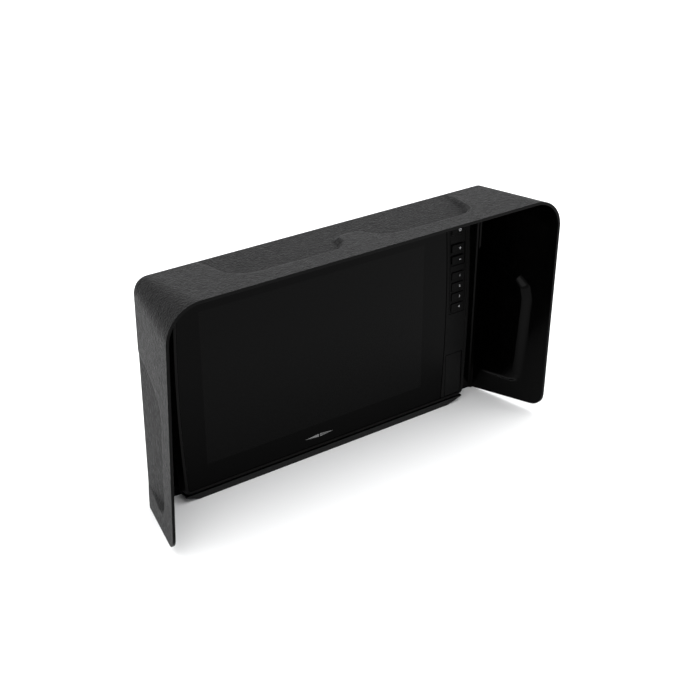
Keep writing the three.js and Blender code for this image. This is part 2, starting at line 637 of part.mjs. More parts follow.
// Stations round the visor, from the foot of the left wing over the top to the foot of the right
function visorStations() {
  const foot = [0, 1.4, 5, VISOR.footR].map((rise) => ({ kind: 'foot', rise }));
  const wingZ = [25, 30, 35, 42, 70, 105, 140, 149, 156, 163, 172, 200];
  const wing = wingZ.map((z) => ({ kind: 'wing', z }));
  const corner = [0, 22.5, 45, 67.5, 90].map((a) => ({ kind: 'corner', turn: THREE.MathUtils.degToRad(a) }));
  const topX = [
    -150.5, -146, -140, -133, -126, -114, -70, -36, -27, -20, -13, -6, 6, 14, 21, 28, 38, 80,
    116, 126, 135, 143, 150.5,
  ];
  const side = [...foot, ...wing, ...corner];
  return [
    ...side.map((s) => ({ ...s, side: -1 })),
    ...topX.map((x) => ({ kind: 'top', x, side: 0 })),
    ...side.map((s) => ({ ...s, side: 1 })).reverse(),
  ];
}

function frontY(station) {
  const z = { foot: VISOR.frontFoot, wing: station.z, top: VISOR.frontTop }[station.kind]
    ?? VISOR.frontTop - VISOR.frontR * (1 - Math.sin(station.turn));
  const drop = (VISOR.frontTop - z) / (VISOR.frontTop - VISOR.frontFoot);
  const straight = mix(VISOR.frontTopY, VISOR.frontFootY, drop);
  if (station.kind !== 'foot') {
    return straight;
  }
  const r = VISOR.footR;
  return straight + r - Math.sqrt(r * r - (r - station.rise) ** 2);
}

// A point of the section, before the recesses: half width, top and radius say how far out it is
function sectionPoint(station, halfW, top, radius, foot, flare = 0) {
  const spreadAt = (z) => flare * (VISOR.backTop - z);
  if (station.kind === 'top') {
    return [station.x, top];
  }
  if (station.kind === 'corner') {
    const z = top - radius * (1 - Math.sin(station.turn));
    return [station.side * (halfW - radius * (1 - Math.cos(station.turn)) + spreadAt(z)), z];
  }
  const z = station.kind === 'foot' ? foot + station.rise : station.z;
  return [station.side * (halfW + spreadAt(z)), z];
}

function wallPoint(station, y, inset) {
  const g = (VISOR.backY - y) / (VISOR.backY - VISOR.frontTopY);
  const spread = (VISOR.frontHalfW - VISOR.backHalfW) * g;
  const rise = (VISOR.frontTop - VISOR.backTop) * g;
  const depth = VISOR.backY - y;
  const [x, z] = sectionPoint(
    station, VISOR.backHalfW + spread - inset, VISOR.backTop + rise - inset,
    mix(VISOR.backR, VISOR.frontR, g) - inset, mix(VISOR.backFoot, VISOR.frontFoot, g),
    VISOR.frontFlare * g,
  );
  if (station.kind === 'top') {
    return [x, y, z - TOP_RECESS_DEPTH * rise * recessed(x, depth, TOP_RECESS)];
  }
  if (station.kind === 'corner') {
    return [x, y, z];
  }
  const pushed = WING_RECESS_DEPTH * spread * recessed(z, depth, WING_RECESS);
  return [x - station.side * pushed, y, z];
}

// Rows across the sheet: the turned-in flange, the rounded fold, then the wall to the front edge
function sheetRows(inset) {
  const rows = [];
  for (const t of [1, 0.4]) {
    rows.push((s) => {
      const [x, z] = sectionPoint(
        s, VISOR.backHalfW - VISOR.fold - (VISOR.flangeSide - VISOR.fold) * t,
        VISOR.backTop - VISOR.fold - (VISOR.flangeTop - VISOR.fold) * t, VISOR.flangeR, VISOR.backFoot,
      );
      return [x, VISOR.backY - inset, z];
    });
  }
  const foldR = VISOR.fold - inset;
  for (const a of [0, 0.39, 0.79, 1.18]) {
    rows.push((s) => {
      const off = VISOR.fold - foldR * Math.sin(a);
      const [x, z] = sectionPoint(
        s, VISOR.backHalfW - off, VISOR.backTop - off, VISOR.backR - off, VISOR.backFoot,
      );
      return [x, VISOR.backY - VISOR.fold + foldR * Math.cos(a), z];
    });
  }
  const depths = [0, 0.16, 0.32, 0.4, 0.48, 0.56, 0.62, 0.68, 0.75, 0.86, 1];
  for (const t of depths) {
    rows.push((s) => wallPoint(s, mix(VISOR.backY - VISOR.fold, frontY(s), t), inset));
  }
  return rows;
}

// The whole visor leans about its top back edge
function leaned([x, y, z]) {
  const dy = y - VISOR.backY;
  const dz = z - VISOR.backTop;
  return [
    x,
    VISOR.backY + dy * Math.cos(LEAN) - dz * Math.sin(LEAN),
    VISOR.backTop + dy * Math.sin(LEAN) + dz * Math.cos(LEAN),
  ];
}

function makeVisor() {
  const stations = visorStations();
  const faces = [0, SHEET].map((inset) => sheetRows(inset).map((row) => stations.map((s) => leaned(row(s)))));
  const rows = faces[0].length;
  const cols = stations.length;
  const points = faces.flat(2).flat();
  const at = (face, row, col) => (face * rows + row) * cols + col;
  const index = [];
  const quad = (a, b, c, d) => index.push(a, b, c, a, c, d);
  for (let r = 0; r < rows - 1; r += 1) {
    for (let c = 0; c < cols - 1; c += 1) {
      quad(at(0, r, c), at(0, r + 1, c), at(0, r + 1, c + 1), at(0, r, c + 1));
      quad(at(1, r, c), at(1, r, c + 1), at(1, r + 1, c + 1), at(1, r + 1, c));
    }
  }
  for (let r = 0; r < rows - 1; r += 1) {
    quad(at(0, r, 0), at(1, r, 0), at(1, r + 1, 0), at(0, r + 1, 0));
    quad(at(0, r, cols - 1), at(0, r + 1, cols - 1), at(1, r + 1, cols - 1), at(1, r, cols - 1));
  }
  for (let c = 0; c < cols - 1; c += 1) {
    quad(at(0, 0, c), at(0, 0, c + 1), at(1, 0, c + 1), at(1, 0, c));
    quad(at(0, rows - 1, c), at(1, rows - 1, c), at(1, rows - 1, c + 1), at(0, rows - 1, c + 1));
  }
  const geometry = new THREE.BufferGeometry();
  geometry.setAttribute('position', new THREE.Float32BufferAttribute(points, 3));
  geometry.setIndex(index);
  place('visor_shell', solid(geometry), 'sheet', visor);
}

// ---------------------------------------------------------------- assembly

makeBezel();
makeGlass();
KEYS.forEach(makeKey);
makeKeypad();
makeCardDoor();
makeScreen();
makeElectronics();
makeHousing();
SOCKETS.forEach(makeSocket);
makeVent();
makeFasteners();
makeVisor();

// The glass plane lies where the whole object is centred front to back
const reach = -leaned([0, VISOR.frontTopY, VISOR.frontTop])[1];
display.position.x = UNIT_X;

const chartplotter = new THREE.Group();
const assembly = new THREE.Group();
assembly.position.y = (reach - UNIT_BACK) / 2;
assembly.add(display, visor);
chartplotter.add(assembly);

export default chartplotter;
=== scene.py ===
"""A chartplotter display under a lift-off sun visor: the looks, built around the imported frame.

Lengths are in millimetres until a mesh is made, where MM turns them into metres.
Y is counted from the front of the cover glass, which the frame gives.
"""

import math

import bmesh
import bpy
import numpy as np
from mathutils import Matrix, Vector


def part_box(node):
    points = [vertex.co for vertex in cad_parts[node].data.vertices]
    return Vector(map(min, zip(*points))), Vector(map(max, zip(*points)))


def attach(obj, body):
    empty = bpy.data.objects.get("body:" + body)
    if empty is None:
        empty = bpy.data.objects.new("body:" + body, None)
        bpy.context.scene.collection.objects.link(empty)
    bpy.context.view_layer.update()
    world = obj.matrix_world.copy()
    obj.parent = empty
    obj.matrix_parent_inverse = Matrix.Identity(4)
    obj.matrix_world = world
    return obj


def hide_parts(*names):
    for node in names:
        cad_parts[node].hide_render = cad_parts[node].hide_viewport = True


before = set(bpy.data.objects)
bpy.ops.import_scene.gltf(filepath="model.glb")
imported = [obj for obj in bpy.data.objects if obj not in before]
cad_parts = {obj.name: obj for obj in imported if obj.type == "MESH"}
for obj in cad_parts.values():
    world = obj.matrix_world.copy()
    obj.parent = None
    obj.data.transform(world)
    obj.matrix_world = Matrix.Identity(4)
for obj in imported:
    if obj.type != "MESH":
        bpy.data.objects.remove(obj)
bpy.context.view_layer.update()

MM = 0.001
GAP = 0.3
GLASS_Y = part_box("front_glass")[0].y / MM
UNIT_X = sum(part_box("main_board")[i].x for i in (0, 1)) / 2 / MM
BOW_R = 1500
BOW_Z = 117


def box_mm(node):
    """A CAD node's box as (x0, x1, y0, y1, z0, z1) in mm, with Y counted from the glass."""
    low, high = (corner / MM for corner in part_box(node))
    return low.x, high.x, low.y - GLASS_Y, high.y - GLASS_Y, low.z, high.z


def bow(z):
    """How far a bowed side of the display has drawn in towards its middle at a height."""
    return (z - BOW_Z) ** 2 / (2 * BOW_R)


# ---------------------------------------------------------------- node helpers


def new_material(name):
    """A node material with its Principled shader, ready for texture nodes."""
    material = bpy.data.materials.new(name)
    material.use_nodes = True
    tree = material.node_tree
    return material, tree, tree.nodes["Principled BSDF"]


def add_node(tree, kind, **settings):
    """A shader node; a setting that names an input sets it, and any other sets a property."""
    node = tree.nodes.new(kind)
    for key, value in settings.items():
        if key in node.inputs:
            node.inputs[key].default_value = value
        else:
            setattr(node, key, value)
    return node


def link(tree, source, target):
    tree.links.new(source, target)


def noise(tree, scale, detail=3.0, roughness=0.55, coordinates=None):
    """Procedural noise, in repeats per metre."""
    node = add_node(tree, "ShaderNodeTexNoise", Scale=scale, Detail=detail, Roughness=roughness)
    link(tree, coordinates or object_space(tree), node.inputs["Vector"])
    return node.outputs["Fac"]


def object_space(tree):
    """Object coordinates; one node serves the whole tree."""
    for node in tree.nodes:
        if node.type == "TEX_COORD":
            return node.outputs["Object"]
    return tree.nodes.new("ShaderNodeTexCoord").outputs["Object"]


def spread(tree, value, low, high, from_low=0.35, from_high=0.65):
    """Maps a noise value onto a range, held at both ends."""
    node = add_node(tree, "ShaderNodeMapRange")
    node.inputs["From Min"].default_value = from_low
    node.inputs["From Max"].default_value = from_high
    node.inputs["To Min"].default_value = low
    node.inputs["To Max"].default_value = high
    link(tree, value, node.inputs["Value"])
    return node.outputs["Result"]


def grey(value):
    """A neutral colour."""
    return value, value, value


def mix_colour(tree, factor, dark, light):
    node = tree.nodes.new("ShaderNodeMix")
    node.data_type = "RGBA"
    link(tree, factor, node.inputs["Factor"])
    for socket in node.inputs:
        if socket.type == "RGBA":
            socket.default_value = (*(dark if socket.name == "A" else light), 1.0)
    return next(out for out in node.outputs if out.type == "RGBA")


def tint(tree, shader, factor, dark, light):
    """Colours a shader between two tones."""
    link(tree, mix_colour(tree, factor, dark, light), shader.inputs["Base Color"])


def roughen(tree, shader, value, low, high):
    """Varies a shader's roughness with a noise value."""
    link(tree, spread(tree, value, low, high), shader.inputs["Roughness"])


def bump(tree, shader, height, distance_mm, strength=1.0):
    node = add_node(tree, "ShaderNodeBump", Strength=strength, Distance=distance_mm * MM)
    link(tree, height, node.inputs["Height"])
    link(tree, node.outputs["Normal"], shader.inputs["Normal"])


# ---------------------------------------------------------------- materials

SHEET_IOR = 1.1  # low, so that the sheet stays dark where it is seen edge on
PLAIN_GRAIN_MM = 1.2
BRUSH_STRETCH = 0.05
LIT_EDGE = 0.2  # half the width over which the lit area's edge fades


def grained_sheet():
    """The outside of the formed sheet: charcoal, with a fine pebbled grain."""
    material, tree, shader = new_material("visor_grain")
    fine = noise(tree, scale=620, detail=4, roughness=0.65)
    coarse = noise(tree, scale=180, detail=2)
    cells = add_node(tree, "ShaderNodeTexVoronoi", Scale=560)
    cells.feature = "SMOOTH_F1"
    link(tree, object_space(tree), cells.inputs["Vector"])
    speckle = spread(tree, fine, low=0, high=1, from_low=0.36, from_high=0.64)
    tint(tree, shader, speckle, dark=grey(0.0006), light=(0.017, 0.0166, 0.017))
    roughen(tree, shader, coarse, low=0.38, high=0.46)
    relief = add_node(tree, "ShaderNodeMath", operation="ADD")
    link(tree, fine, relief.inputs[0])
    link(tree, cells.outputs["Distance"], relief.inputs[1])
    bump(tree, shader, relief.outputs[0], distance_mm=0.5)
    shader.inputs["IOR"].default_value = SHEET_IOR
    return material


def smooth_sheet_painted_shade():
    """The inside of the formed sheet: smooth, glossy black plastic, with its tone pushed far below the
    outside's as painted shade for the shadow inside the visor.
    """
    material, tree, shader = new_material("visor_inside_painted_shade")
    patches = spread(tree, noise(tree, scale=40), low=0, high=1)
    # painted shade: both tones sit far below the outside sheet's so that the visor's inside reads as
    # shadowed; the patches between them are random tone
    tint(tree, shader, patches, dark=grey(0.0002), light=grey(0.0004))
    roughen(tree, shader, noise(tree, scale=60), low=0.15, high=0.2)
    bump(tree, shader, noise(tree, scale=70, detail=1), distance_mm=0.05, strength=0.4)
    shader.inputs["Specular IOR Level"].default_value = 0.05
    return material


def moulded_plastic(name, dark, light, roughness, grain=900, relief_mm=0.03, specular=0.4):
    """Spark-textured moulded plastic."""
    material, tree, shader = new_material(name)
    fine = noise(tree, grain, detail=3)
    tint(tree, shader, spread(tree, noise(tree, scale=25, detail=4), low=0, high=1), dark, light)
    roughen(tree, shader, fine, roughness - 0.05, roughness + 0.06)
    bump(tree, shader, fine, relief_mm, strength=0.5)
    shader.inputs["Specular IOR Level"].default_value = specular
    return material


def cover_glass(lit_area):
    """Black-backed cover glass: the lit area behind it is a touch lighter than its printed border."""
    material, tree, shader = new_material("cover_glass")
    x0, x1, z0, z1 = lit_area
    axes = tree.nodes.new("ShaderNodeSeparateXYZ")
    link(tree, object_space(tree), axes.inputs[0])

    def inside(axis, low, high):
        middle, half = (low + high) / 2 * MM, (high - low) / 2 * MM
        away = add_node(tree, "ShaderNodeMath", operation="SUBTRACT")
        away.inputs[1].default_value = middle
        link(tree, axes.outputs[axis], away.inputs[0])
        distance = add_node(tree, "ShaderNodeMath", operation="ABSOLUTE")
        link(tree, away.outputs[0], distance.inputs[0])
        return spread(tree, distance.outputs[0], 1, 0, half - LIT_EDGE * MM, half + LIT_EDGE * MM)

    both = add_node(tree, "ShaderNodeMath", operation="MULTIPLY")
    link(tree, inside("X", x0, x1), both.inputs[0])
    link(tree, inside("Z", z0, z1), both.inputs[1])
    tint(tree, shader, both.outputs[0], dark=grey(0.0002), light=grey(0.0016))
    roughen(tree, shader, noise(tree, scale=30), low=0.085, high=0.115)
    shader.inputs["Specular IOR Level"].default_value = 0.035
    return material


def metal(name, dark, light, roughness, brushed_mm=None):
    """Bare metal; a brushed one has its grain drawn out along X."""
    material, tree, shader = new_material(name)
    place = add_node(tree, "ShaderNodeMapping")
    place.inputs["Scale"].default_value = (BRUSH_STRETCH, 1, 1) if brushed_mm else (1, 1, 1)
    link(tree, object_space(tree), place.inputs["Vector"])
    scale = 1000 / (brushed_mm or PLAIN_GRAIN_MM)
    grain = noise(tree, scale, coordinates=place.outputs["Vector"])
    tint(tree, shader, spread(tree, grain, low=0, high=1), dark, light)
    roughen(tree, shader, grain, roughness - 0.06, roughness + 0.08)
    bump(tree, shader, grain, distance_mm=0.01, strength=0.4)
    shader.inputs["Metallic"].default_value = 1.0
    return material


def printed_ink(name, dark, light):
    """Thin pad-printed ink."""
    material, tree, shader = new_material(name)
    tint(tree, shader, spread(tree, noise(tree, scale=1500), low=0, high=1), dark, light)
    shader.inputs["Roughness"].default_value = 0.6
    return material


def circuit_board():
    """Green solder mask with a hint of the copper tracks under it."""
    material, tree, shader = new_material("solder_mask")
    tracks = add_node(tree, "ShaderNodeTexVoronoi", Scale=260)
    tracks.feature = "F1"
    tracks.distance = "MANHATTAN"
    link(tree, object_space(tree), tracks.inputs["Vector"])
    copper = spread(tree, tracks.outputs["Distance"], low=0, high=1, from_low=0.3, from_high=0.5)
    tint(tree, shader, copper, dark=(0.008, 0.075, 0.03), light=(0.02, 0.13, 0.05))
    roughen(tree, shader, noise(tree, scale=400), low=0.3, high=0.45)
    return material


LCD = box_mm("lcd_cell")
LIT_MARGIN_X, LIT_MARGIN_Z = 9, 10  # the panel's edge beyond its lit area
LIT_AREA = (
    LCD[0] + LIT_MARGIN_X, LCD[1] - LIT_MARGIN_X, LCD[4] + LIT_MARGIN_Z, LCD[5] - LIT_MARGIN_Z,
)

GRAIN = grained_sheet()
# the inside material carries painted shade for the shadow inside the visor
INSIDE_PAINTED_SHADE = smooth_sheet_painted_shade()
GLASS = cover_glass(LIT_AREA)
SHELL = moulded_plastic("housing_plastic", grey(0.0012), grey(0.0018), roughness=0.42, specular=0.05)
KEY = moulded_plastic(
    "key_plastic", grey(0.0009), grey(0.0014), roughness=0.36, grain=1200, specular=0.045,
)
SOCKET = moulded_plastic("socket_plastic", (0.012, 0.012, 0.0125), (0.017, 0.017, 0.018), roughness=0.38)
RUBBER = moulded_plastic(
    "rubber", grey(0.010), grey(0.016), roughness=0.75, grain=700, relief_mm=0.04, specular=0.25,
)
CHIP = moulded_plastic("chip_resin", (0.012, 0.012, 0.013), (0.02, 0.02, 0.021), roughness=0.5)
CERAMIC = moulded_plastic("antenna_ceramic", (0.45, 0.36, 0.26), (0.55, 0.46, 0.34), roughness=0.6)
FILM = moulded_plastic("ribbon_film", (0.24, 0.10, 0.02), (0.34, 0.15, 0.03), roughness=0.3)
CELL = moulded_plastic("screen_cell", (0.006, 0.006, 0.007), (0.009, 0.009, 0.010), roughness=0.2)
STEEL = metal("steel", (0.42, 0.42, 0.43), (0.6, 0.6, 0.61), roughness=0.34, brushed_mm=0.4)
BLACK_STEEL = metal("black_screw_steel", (0.03, 0.03, 0.032), (0.055, 0.055, 0.058), roughness=0.42)
ALLOY = metal("aluminium", (0.6, 0.6, 0.62), (0.74, 0.74, 0.76), roughness=0.4, brushed_mm=0.5)
BRASS = metal("brass", (0.5, 0.34, 0.12), (0.68, 0.5, 0.22), roughness=0.3)
LEGEND_INK = printed_ink("legend_ink", (0.36, 0.36, 0.37), (0.46, 0.46, 0.47))
MARK_INK = printed_ink("mark_ink", grey(0.10), grey(0.15))
BOARD = circuit_board()

# ---------------------------------------------------------------- mesh helpers

CURVE_WELD, CAD_WELD = 0.001, 0.002
COPLANAR_DEG = 0.5


def finish_piece(piece, body, slot, *materials, replaces=None):
    """Gives a piece its materials and body, and hides the CAD node it stands for; the slot is not used.
    """
    for material in materials:
        piece.data.materials.append(material)
    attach(piece, body)
    if replaces:
        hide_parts(replaces)


def link_object(name, data):
    """An object of a mesh, or of any other data, in the scene."""
    piece = bpy.data.objects.new(name, data)
    bpy.context.scene.collection.objects.link(piece)
    return piece


def evaluated_mesh(holder):
    """The mesh that a curve or text object makes; the object itself is removed."""
    graph = bpy.context.evaluated_depsgraph_get()
    mesh = bpy.data.meshes.new_from_object(holder.evaluated_get(graph))
    bpy.data.objects.remove(holder)
    return mesh


def round_corner(cx, cz, r, start, steps=8):
    """Points of a quarter turn, anticlockwise from the start angle in degrees."""
    turns = [math.radians(start + 90 * i / steps) for i in range(steps + 1)]
    return [(cx + r * math.cos(t), cz + r * math.sin(t)) for t in turns]


def round_rect(x0, x1, z0, z1, r):
    return (
        round_corner(x1 - r, z0 + r, r, -90)
        + round_corner(x1 - r, z1 - r, r, 0)
        + round_corner(x0 + r, z1 - r, r, 90)
        + round_corner(x0 + r, z0 + r, r, 180)
    )


def bowed_rect(x0, x1, z0, z1, r, steps=16):
    """A rounded rectangle whose upright sides follow the display's bowed ones."""
    points = round_rect(x0, x1, z0, z1, r)
    corner = len(points) // 4
    heights = [z0 + r + (z1 - z0 - 2 * r) * i / steps for i in range(1, steps)]
    points[3 * corner:3 * corner] = [(x0, z) for z in reversed(heights)]
    points[corner:corner] = [(x1, z) for z in heights]

    def drawn_in(x, z):
        return x - math.copysign(bow(min(max(z, z0 + r), z1 - r)), x - UNIT_X)

    return [(drawn_in(x, z), z) for x, z in points]


def grown(rect, by):
    x0, x1, z0, z1 = rect
    return x0 - by, x1 + by, z0 - by, z1 + by


def outline_solid(outlines, depth, edge, rounding=3):
    """A solid of the first outline, less the others, of a depth, with its edges rounded."""
    curve = bpy.data.curves.new("outline", "CURVE")
    curve.dimensions = "2D"
    curve.fill_mode = "BOTH"
    curve.extrude = (depth / 2 - edge) * MM
    curve.bevel_depth = edge * MM
    curve.bevel_resolution = rounding
    curve.offset = -edge * MM
    for points in outlines:
        spline = curve.splines.new("POLY")
        spline.points.add(len(points) - 1)
        for point, (u, v) in zip(spline.points, points):
            point.co = (u * MM, v * MM, 0, 1)
        spline.use_cyclic_u = True
    mesh = evaluated_mesh(link_object("outline", curve))
    bm = bmesh.new()
    bm.from_mesh(mesh)
    bmesh.ops.remove_doubles(bm, verts=bm.verts, dist=CURVE_WELD * MM)
    bmesh.ops.recalc_face_normals(bm, faces=bm.faces)
    bpy.data.meshes.remove(mesh)
    return bm


def plate(outlines, y0, y1, edge=0.3, rounding=3):
    """A plate lying across Y between two depths behind the glass."""
    bm = outline_solid(outlines, y1 - y0, edge, rounding)
    middle = (GLASS_Y + (y0 + y1) / 2) * MM
    for v in bm.verts:
        v.co = Vector((v.co.x, middle - v.co.z, v.co.y))
    bmesh.ops.recalc_face_normals(bm, faces=bm.faces)
    return bm


def upright(outlines, z0, z1, edge=0.3):
    """A solid standing along Z, with its outline given in X and Y."""
    bm = outline_solid(outlines, z1 - z0, edge)
    for v in bm.verts:
        v.co = Vector((v.co.x, v.co.y + GLASS_Y * MM, v.co.z + (z0 + z1) / 2 * MM))
    return bm


def merged(name, parts, sharp_deg=40):
    """One mesh object of several closed solids, smooth but for its sharp turns."""
    mesh = bpy.data.meshes.new(name)
    whole = bmesh.new()
    for part in parts:
        loose = bpy.data.meshes.new("part")
        part.to_mesh(loose)
        whole.from_mesh(loose)
        bpy.data.meshes.remove(loose)
        part.free()
    whole.to_mesh(mesh)
    whole.free()
    piece = link_object(name, mesh)
    shade(piece, sharp_deg)
    return piece


def shade(piece, sharp_deg=40):
    """Smooth shading that keeps edges sharper than an angle, with flat faces kept flat."""
    mesh = piece.data
    mesh.shade_smooth()
    mesh.set_sharp_from_angle(angle=math.radians(sharp_deg))
    weighted = piece.modifiers.new("flat_faces", "WEIGHTED_NORMAL")
    weighted.keep_sharp = True
    weighted.weight = 80


def round_edges(piece, edge, turn):
    """Rounds a piece's edges where they turn by more than an angle in degrees."""
    rounding = piece.modifiers.new("rounded_edges", "BEVEL")
    rounding.width = edge * MM
    rounding.segments = 3
    rounding.limit_method = "ANGLE"
    rounding.angle_limit = math.radians(turn)
    return rounding


def cad_mesh(node, name):
    """A copy of a CAD node's mesh, with the triangles of each flat face joined."""
    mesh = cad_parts[node].data.copy()
    mesh.name = name
    mesh.materials.clear()
    bm = bmesh.new()
    bm.from_mesh(mesh)
    bmesh.ops.remove_doubles(bm, verts=bm.verts, dist=CAD_WELD * MM)
    flat = math.radians(COPLANAR_DEG)
    bmesh.ops.dissolve_limit(bm, angle_limit=flat, verts=bm.verts, edges=bm.edges)
    bm.to_mesh(mesh)
    bm.free()
    return mesh


def refined(node, name, edge):
    """A piece that copies a CAD node's solid, with its edges rounded."""
    piece = link_object(name, cad_mesh(node, name))
    round_edges(piece, edge, turn=30)
    shade(piece)
    return piece


# ---------------------------------------------------------------- sun visor

SHEET = 3
SHEET_EDGE = 0.7
LEAN = math.radians(1)
BACK_Y, FRONT_TOP_Y, FRONT_FOOT_Y = 19.5, -79.2, -74
BACK_HALF_W, FRONT_HALF_W = 202.5, 222
BACK_TOP, FRONT_TOP = 243.7, 257.4
BACK_FOOT, FRONT_FOOT = 0.6, 12.3
BACK_R, FRONT_R = 13.5, 34
FOLD = 6
FLANGE_SIDE, FLANGE_TOP, FLANGE_R = 45.1, 32.7, 6
FOOT_R = 13
FOOT_CLEAR = 13.5  # from the foot's curve to the wing's first row
FRONT_FLARE = 0.022
# outlines of the recessed panels, in mm along the sheet and forward from its back
TOP_RECESS = [
    (-144, -9), (-137, 27), (-135, 50), (-130, 60), (-118, 67), (-60, 69), (-31, 69), (-22, 63),
    (-15, 54), (-12, 42), (-8, 38), (0, 36), (12, 37), (18, 44), (24, 61), (34, 68), (60, 70),
    (110, 71), (122, 69), (130, 62), (136, 50), (146, 9), (147, -9),
]
WING_RECESS = [
    (24, -9), (29, 40), (31, 55), (34, 61), (41, 65),
    (135, 70), (147, 67), (155, 57), (162, 41), (176, -9),
]
TOP_RECESS_DEPTH = 0.7  # share of the sheet's outward spread that a recess takes back
WING_RECESS_DEPTH = 0.5
RECESS_WALL = 6
STEP = 1.5
WALL_ROWS = 64
FLANGE_ROWS = 8
FOLD_ROWS = 7
FOOT_STEPS, REACH_STEPS, CORNER_STEPS = 9, 7, 24
WING_TO = 200
TOP_TO = 150


def edge_distance(u, v, outline):
    """Distance from points to an outline's edge, negative inside it."""
    nearest = np.full(u.shape, 1e9)
    inside = np.zeros(u.shape, bool)
    for (u1, v1), (u0, v0) in zip(outline, outline[-1:] + outline[:-1]):
        du, dv = u1 - u0, v1 - v0
        t = np.clip(((u - u0) * du + (v - v0) * dv) / (du * du + dv * dv), 0, 1)
        nearest = np.minimum(nearest, np.hypot(u - u0 - t * du, v - v0 - t * dv))
        if dv:
            crosses = ((v0 > v) != (v1 > v)) & (u < du * (v - v0) / dv + u0)
            inside ^= crosses
    return np.where(inside, -nearest, nearest)


def recessed(u, v, outline):
    """1 on a recessed panel, 0 outside it, and smooth across its sloping wall."""
    t = np.clip(0.5 - edge_distance(u, v, outline) / RECESS_WALL, 0, 1)
    return t * t * (3 - 2 * t)


class Stations:
    """Places round the visor, from the foot of the left wing over the top to the right foot."""

    def __init__(self):
        quarter = np.linspace(0, math.pi / 2, FOOT_STEPS)
        foot = [("foot", FOOT_R * (1 - math.cos(t))) for t in quarter]
        wing_z = np.arange(FOOT_R + FOOT_CLEAR, WING_TO, STEP)
        wing = [("wing", z) for z in wing_z]
        reach = [("reach", f) for f in np.linspace(0, 1, REACH_STEPS)[:-1]]
        corner = [("corner", t) for t in np.linspace(0, math.pi / 2, CORNER_STEPS)]
        over = [("over", f) for f in np.linspace(0, 1, REACH_STEPS)[1:-1]]
        half = foot + wing + reach + corner + over
        top = [("top", x) for x in np.arange(-TOP_TO, TOP_TO + STEP / 2, STEP)]
        order = [(k, v, -1) for k, v in half] + [(k, v, 0) for k, v in top]
        order += [(k, v, 1) for k, v in reversed(half)]
        self.kind = np.array([k for k, _, _ in order])
        self.value = np.array([v for _, v, _ in order])
        self.side = np.array([s for _, _, s in order])
        self.count = len(order)

    def section(self, half_w, top, radius, foot, flare=0.0):
        """Places on a section, before the recesses; each argument may differ by station."""
        given = (half_w, top, radius, foot)
        half_w, top, radius, foot = (np.broadcast_to(a, self.count) for a in given)
        v, kind = self.value, self.kind
        x = half_w.astype(float).copy()
        z = np.zeros(self.count)
        z[kind == "foot"] = (foot + v)[kind == "foot"]
        z[kind == "wing"] = v[kind == "wing"]
        z[kind == "reach"] = (WING_TO + (top - radius - WING_TO) * v)[kind == "reach"]
        corner = kind == "corner"
        z[corner] = (top - radius * (1 - np.sin(v)))[corner]
        x[corner] = (half_w - radius * (1 - np.cos(v)))[corner]
        level = (kind == "over") | (kind == "top")
        z[level] = top[level]
        x[kind == "over"] = (half_w - radius + (TOP_TO - half_w + radius) * v)[kind == "over"]
        x += np.where(level, 0, flare * (BACK_TOP - z))
        x *= self.side
        x[kind == "top"] = v[kind == "top"]
        return x, z

    def front_y(self):
        """Where the front edge is, with the lower front corner of each wing rounded off."""
        v, kind = self.value, self.kind
        z = np.full(self.count, float(FRONT_TOP))
        z[kind == "foot"] = FRONT_FOOT
        z[kind == "wing"] = v[kind == "wing"]
        z[kind == "reach"] = (WING_TO + (FRONT_TOP - FRONT_R - WING_TO) * v)[kind == "reach"]
        corner = kind == "corner"
        z[corner] = (FRONT_TOP - FRONT_R * (1 - np.sin(v)))[corner]
        drop = (FRONT_TOP - z) / (FRONT_TOP - FRONT_FOOT)
        y = FRONT_TOP_Y + (FRONT_FOOT_Y - FRONT_TOP_Y) * drop
        foot = kind == "foot"
        y[foot] += FOOT_R - np.sqrt(FOOT_R**2 - (FOOT_R - v[foot]) ** 2)
        return y


def wall_row(stations, y, inset):
    """One row of the wall, a given depth back, with the recessed panels pushed in."""
    g = (BACK_Y - y) / (BACK_Y - FRONT_TOP_Y)
    out = (FRONT_HALF_W - BACK_HALF_W) * g
    rise = (FRONT_TOP - BACK_TOP) * g
    x, z = stations.section(
        BACK_HALF_W + out - inset, BACK_TOP + rise - inset,
        BACK_R + (FRONT_R - BACK_R) * g - inset, BACK_FOOT + (FRONT_FOOT - BACK_FOOT) * g,
        FRONT_FLARE * g,
    )
    on_top = (stations.kind == "top") | (stations.kind == "over")
    on_wing = (stations.side != 0) & ~on_top & (stations.kind != "corner")
    depth = BACK_Y - y
    z = z - np.where(on_top, TOP_RECESS_DEPTH * rise * recessed(x, depth, TOP_RECESS), 0)
    pushed = WING_RECESS_DEPTH * out * recessed(z, depth, WING_RECESS)
    x = x - np.where(on_wing, stations.side * pushed, 0)
    return np.stack([x, y, z], 1)


def sheet_rows(stations, inset):
    """Rows across the sheet: flange, rounded fold, then the wall out to the front edge."""
    rows = []
    for t in np.linspace(1, 0, FLANGE_ROWS + 1)[:-1]:
        x, z = stations.section(
            BACK_HALF_W - FOLD - (FLANGE_SIDE - FOLD) * t,
            BACK_TOP - FOLD - (FLANGE_TOP - FOLD) * t, FLANGE_R, BACK_FOOT,
        )
        rows.append(np.stack([x, np.full(stations.count, BACK_Y - inset), z], 1))
    radius = FOLD - inset
    for a in np.linspace(0, math.pi / 2, FOLD_ROWS + 1)[:-1]:
        off = FOLD - radius * math.sin(a)
        x, z = stations.section(BACK_HALF_W - off, BACK_TOP - off, BACK_R - off, BACK_FOOT)
        y = np.full(stations.count, BACK_Y - FOLD + radius * math.cos(a))
        rows.append(np.stack([x, y, z], 1))
    front = stations.front_y()
    for t in np.linspace(0, 1, WALL_ROWS):
        rows.append(wall_row(stations, BACK_Y - FOLD + (front - BACK_Y + FOLD) * t, inset))
    return np.array(rows)


